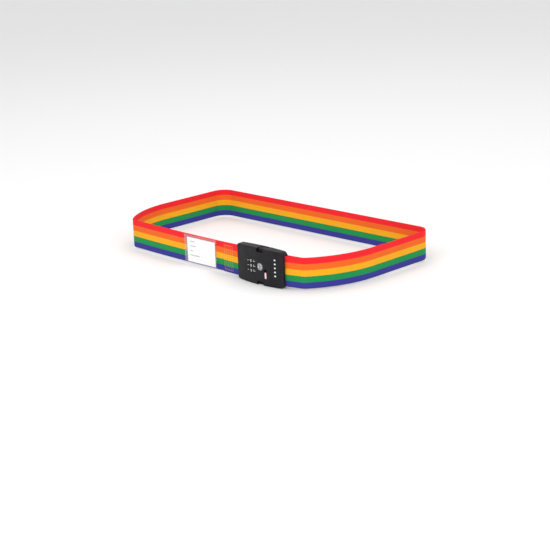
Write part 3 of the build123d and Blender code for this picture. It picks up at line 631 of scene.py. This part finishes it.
def pocket_sheet(name, y):
    """One clear sheet: a thin closed panel that pulls down to a sewn welt round its edge."""
    low, high = pocket_low, pocket_high
    columns, rows = 48, 30
    vertices, faces = [], []
    for layer in (0, 1):
        for row in range(rows + 1):
            for column in range(columns + 1):
                x = low[0] + (high[0] - low[0]) * column / columns
                z = low[2] + (high[2] - low[2]) * row / rows
                edge = min(x - low[0], high[0] - x, z - low[2])
                lift = min(1.0, max(0.0, edge / WELT)) ** 2
                ripple = RIPPLE * math.sin(x * RIPPLES_X) * math.sin(z * RIPPLES_Z + 1)
                front = y + (1 - lift) * WELT_DEPTH + lift * ripple
                vertices.append((x, front + layer * SHEET_THICK, z))
    across = columns + 1
    layer_size = across * (rows + 1)
    for row in range(rows):
        for column in range(columns):
            a = row * across + column
            faces.append((a, a + 1, a + across + 1, a + across))
            b = a + layer_size
            faces.append((b, b + across, b + across + 1, b + 1))
    rim = list(range(columns))
    rim += [row * across + columns for row in range(rows)]
    rim += [rows * across + column for column in range(columns, 0, -1)]
    rim += [row * across for row in range(rows, 0, -1)]
    for index, a in enumerate(rim):
        b = rim[(index + 1) % len(rim)]
        faces.append((a, a + layer_size, b + layer_size, b))
    made = mesh_object(name, vertices, faces)
    paint(made, CLEAR)
    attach(made, "lock")
    return made


window = pocket_sheet("pocket_front_sheet", pocket_low[1] + 0.02 * MM)
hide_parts("id_window")
pocket_back = pocket_sheet("pocket_back_sheet", pocket_high[1] - 0.5 * MM)

SEAM_IN = 1.8 * MM
left, right = pocket_low[0] + SEAM_IN, pocket_high[0] - SEAM_IN
bottom, top = pocket_low[2] + SEAM_IN, pocket_high[2] - SEAM_IN
seam_y = pocket_low[1] + 0.35 * MM
pocket_rows = [
    ((left, seam_y, top), (left, seam_y, bottom)),
    ((left, seam_y, bottom), (right, seam_y, bottom)),
    ((right, seam_y, bottom), (right, seam_y, top)),
]
pocket_seam = stitch_rows("pocket_stitches", pocket_rows, 2.6 * MM, 0.24 * MM, CLEAR_THREAD)
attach(pocket_seam, "lock")


# ---- Print on the card -----------------------------------------------------------------------
INK = 0.04 * MM
CARD_MARGIN = 0.10  # of the card's width, at each side
RULE_COUNT = 5
RULE_HEIGHT = 0.35 * MM
RULE_TOP, RULE_STEP = 0.19, 0.165  # of the card's height, down from its top edge
FIELD_WIDTHS = (0.17, 0.20, 0.10, 0.34)  # of the card's width
FIELD_HEIGHT = 1.5 * MM
FIELD_TOP, FIELD_STEP = 0.17, 0.19


def bars(name, boxes, y, material):
    """Thin flat marks on the card, with their fronts at y: each is (x low, x high, z low, z high)."""
    vertices, faces = [], []
    for x0, x1, z0, z1 in boxes:
        block(vertices, faces, ((x0, z0), (x1, z0), (x1, z1), (x0, z1)), y, INK)
    made = mesh_object(name, vertices, faces, smooth=False)
    paint(made, material)
    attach(made, "card")


card_width = card_high[0] - card_low[0]
card_height = card_high[2] - card_low[2]
rule_left, rule_right = card_low[0] + CARD_MARGIN * card_width, card_high[0] - CARD_MARGIN * card_width
ink_y = card_low[1] - INK / 2
rules, fields = [], []
for row in range(RULE_COUNT):
    z = card_high[2] - card_height * (RULE_TOP + RULE_STEP * row)
    rules.append((rule_left, rule_right, z, z + RULE_HEIGHT))
for row, share in enumerate(FIELD_WIDTHS):
    z = card_high[2] - card_height * (FIELD_TOP + FIELD_STEP * row)
    fields.append((rule_left, rule_left + share * card_width, z, z + FIELD_HEIGHT))
bars("card_rules", rules, ink_y, PALE_INK)
bars("card_fields", fields, ink_y - INK, GREY_INK)


# ---- Dial digits and marks on the buckle ------------------------------------------------------
DIGITS = 10
DIGIT_HEIGHT = 4.4 * MM
DIGIT_PROUD = 0.06 * MM
DIGIT_SHARE = 0.72  # a digit's height as a share of the type size


def digit_mesh(text):
    """Outline of one digit as flat vertices and faces, centred."""
    curve = bpy.data.curves.new("digit", "FONT")
    curve.body = text
    curve.size = DIGIT_HEIGHT / DIGIT_SHARE
    curve.align_x = "CENTER"
    curve.align_y = "CENTER"
    curve.resolution_u = 4
    holder = bpy.data.objects.new("digit", curve)
    mesh = bpy.data.meshes.new_from_object(holder)
    bpy.data.objects.remove(holder)
    bpy.data.curves.remove(curve)
    return mesh


def dial_digits(number):
    """Ten raised digits round one dial."""
    low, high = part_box(f"dial_{number}")
    centre = Vector(((low[0] + high[0]) / 2, (low[1] + high[1]) / 2, (low[2] + high[2]) / 2))
    radius = (high[0] - low[0]) / 2
    vertices, faces = [], []
    for digit in range(DIGITS):
        flat = digit_mesh(str(digit))
        bm = bmesh.new()
        bm.from_mesh(flat)
        bmesh.ops.subdivide_edges(bm, edges=bm.edges, cuts=1)
        bmesh.ops.triangulate(bm, faces=bm.faces)
        extruded = bmesh.ops.extrude_face_region(bm, geom=list(bm.faces))
        raised = {v for v in extruded["geom"] if isinstance(v, bmesh.types.BMVert)}
        bm.verts.index_update()
        first = len(vertices)
        turn = 2 * math.pi * digit / DIGITS
        for vertex in bm.verts:
            reach = radius + DIGIT_PROUD if vertex in raised else radius - DIGIT_PROUD
            angle = turn + vertex.co.x / radius
            place = centre + Vector((math.sin(angle) * reach, -math.cos(angle) * reach, vertex.co.y))
            vertices.append(place)
        for face in bm.faces:
            faces.append(tuple(first + vertex.index for vertex in face.verts))
        bm.free()
    made = mesh_object(f"dial_{number}_digits", vertices, faces, smooth=False)
    tidy_normals(made)
    paint(made, MARK)
    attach(made, f"dial_{number}")
    return low, high


def pill(vertices, faces, u, z, width, height, proud):
    """Adds a low rounded pad on the crowned front, of the given width and height."""
    sides = 20
    sunk = 0.1 * MM
    radius = min(width, height) / 2
    first = len(vertices)
    tilt = face_slope(u)
    rings = ((1.0, -sunk), (1.0, proud * 0.6), (0.82, proud))
    for scale, rise in rings:
        for step in range(sides):
            angle = 2 * math.pi * (step + 0.5) / sides
            dx, dz = math.cos(angle) * radius * scale, math.sin(angle) * radius * scale
            dx += math.copysign(max(0.0, width / 2 - radius), dx)
            dz += math.copysign(max(0.0, height / 2 - radius), dz)
            x = BUCKLE_X + u + dx * math.cos(tilt) + rise * math.sin(tilt)
            y = face_y(u) + dx * math.sin(tilt) - rise * math.cos(tilt)
            vertices.append((x, y, MID_Z + z + dz))
    loft(faces, first, len(rings), sides)


def pads(name, places, proud, material, body):
    """Pads on the buckle's front: each place is (u, z, width, height)."""
    vertices, faces = [], []
    for u, z, width, height in places:
        pill(vertices, faces, u, z, width, height, proud)
    made = mesh_object(name, vertices, faces, smooth=False)
    paint(made, material)
    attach(made, body)


TICK_OFF = 8.0 * MM  # from the dial's middle
TICK_SIZE = (2.2 * MM, 0.8 * MM)
ticks = []
for number in (1, 2, 3):
    low, high = dial_digits(number)
    dial_u = (low[0] + high[0]) / 2 - BUCKLE_X
    dial_z = (low[2] + high[2]) / 2 - MID_Z
    ticks += [(dial_u + side * TICK_OFF, dial_z, *TICK_SIZE) for side in (-1, 1)]
pads("index_marks", ticks, 0.12 * MM, MARK, "lock")

PIP_U = 36.5 * MM  # from the middle of the whole buckle
PIP_Z = 2.5 * MM
PIP_PITCH = 6.6 * MM
PIP_SIZE = (3.4 * MM, 2.6 * MM)
pips = [(PIP_U, PIP_Z + PIP_PITCH * step, *PIP_SIZE) for step in (2, 1, 0, -1, -2)]
pads("grip_pips", pips, 0.45 * MM, MARK, "plug")


def key_ring_marks():
    """Short radial marks round the key cylinder's face, where the key turns."""
    low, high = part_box("key_cylinder_body")
    key_low, key_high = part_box("key_plug")
    middle_x, middle_z = (low[0] + high[0]) / 2, (low[2] + high[2]) / 2
    inner = (key_high[0] - key_low[0]) / 2 + 0.35 * MM
    outer = (high[0] - low[0]) / 2 - 0.55 * MM
    half_width = 0.42 * MM
    proud, sunk = 0.12 * MM, 0.1 * MM
    marks = 12
    vertices, faces = [], []
    for index in range(marks):
        angle = 2 * math.pi * index / marks
        outline = []
        for reach, aside in ((inner, -1), (inner, 1), (outer, 1), (outer, -1)):
            x = middle_x + math.sin(angle) * reach + math.cos(angle) * half_width * aside
            z = middle_z + math.cos(angle) * reach - math.sin(angle) * half_width * aside
            outline.append((x, z))
        block(vertices, faces, outline, low[1] - proud, proud + sunk)
    made = mesh_object("key_ring_marks", vertices, faces, smooth=False)
    paint(made, MARK)
    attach(made, "lock")


key_ring_marks()

# ---- Coil springs ---------------------------------------------------------------------------------
WIRE = 0.5 * MM


def coil_spring(node, body, turns):
    """A coil in the place of a CAD spring."""
    low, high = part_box(node)
    middle = ((low[0] + high[0]) / 2, (low[1] + high[1]) / 2)
    radius = (high[0] - low[0] - WIRE) / 2
    start, stop = low[2] + WIRE / 2, high[2] - WIRE / 2
    around, steps = 10, 28 * turns
    vertices, faces = [], []
    for step in range(steps + 1):
        angle = 2 * math.pi * turns * step / steps
        z = start + (stop - start) * step / steps
        for spoke in range(around):
            turn = 2 * math.pi * spoke / around
            reach = radius + math.cos(turn) * WIRE / 2
            x = middle[0] + math.cos(angle) * reach
            y = middle[1] + math.sin(angle) * reach
            vertices.append((x, y, z + math.sin(turn) * WIRE / 2))
    loft(faces, 0, steps + 1, around)
    made = mesh_object(f"{node}_coil", vertices, faces)
    tidy_normals(made)
    paint(made, SPRING)
    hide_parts(node)
    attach(made, body)
    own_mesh(made)


coil_spring("shaft_spring", "lock", 4)
coil_spring("arm_spring_top", "plug", 6)
coil_spring("arm_spring_bottom", "plug", 6)

# ---- Floor, light and camera -----------------------------------------------------------------
FLOOR_HALF = 6
floor_corners = [(FLOOR_HALF * x, FLOOR_HALF * y, 0) for x, y in ((-1, -1), (1, -1), (1, 1), (-1, 1))]
floor = mesh_object("floor", floor_corners, [(0, 1, 2, 3)], smooth=False)
ground = Shader("floor_pale", Roughness=0.9)
ground.surface.inputs["Base Color"].default_value = linear(240, 240, 240)
paint(floor, ground.material)

world = bpy.data.worlds.new("studio")
scene.world = world
world.use_nodes = True
sky = world.node_tree.nodes["Background"]
sky.inputs["Color"].default_value = (1, 1, 1, 1)
sky.inputs["Strength"].default_value = 0.85


def soft_light(name, place, target, size, power):
    """A square area light that looks at a point."""
    data = bpy.data.lights.new(name, "AREA")
    data.size = size
    data.energy = power
    made = bpy.data.objects.new(name, data)
    made.location = place
    made.rotation_euler = (Vector(target) - Vector(place)).to_track_quat("-Z", "Y").to_euler()
    scene.collection.objects.link(made)


soft_light("key_light", (0.4, -1.8, 1.6), (0, 0, 0), 1.6, 18)
soft_light("fill_light", (2.0, -0.2, 1.1), (0.1, 0, 0), 1.4, 8)
soft_light("top_light", (-0.4, 0.6, 2.2), (0, 0, 0), 2.0, 10)

# The view: from the right of the front and a little above, as far off as a long lens needs.
AZIMUTH = math.radians(45.49)
PITCH = math.radians(16.4)
ROLL = math.radians(2.24)
EYE = Vector((1676.9 * MM, WEB_Y - 1499.1 * MM, WEB_Z + 618.6 * MM))
ahead = Vector((
    -math.sin(AZIMUTH) * math.cos(PITCH),
    math.cos(AZIMUTH) * math.cos(PITCH),
    -math.sin(PITCH),
))
level_right = Vector((math.cos(AZIMUTH), math.sin(AZIMUTH), 0))
level_up = level_right.cross(ahead)
cam_right = level_right * math.cos(ROLL) - level_up * math.sin(ROLL)
cam_up = cam_right.cross(ahead)
lens = bpy.data.cameras.new("camera")
lens.sensor_width = 36.0
lens.lens = 91.64
lens.clip_end = 50
camera = bpy.data.objects.new("camera", lens)
turn = Matrix((cam_right, cam_up, -ahead)).transposed()
camera.matrix_world = Matrix.Translation(EYE) @ turn.to_4x4()
scene.collection.objects.link(camera)
scene.camera = camera
scene.view_settings.view_transform = "Standard"
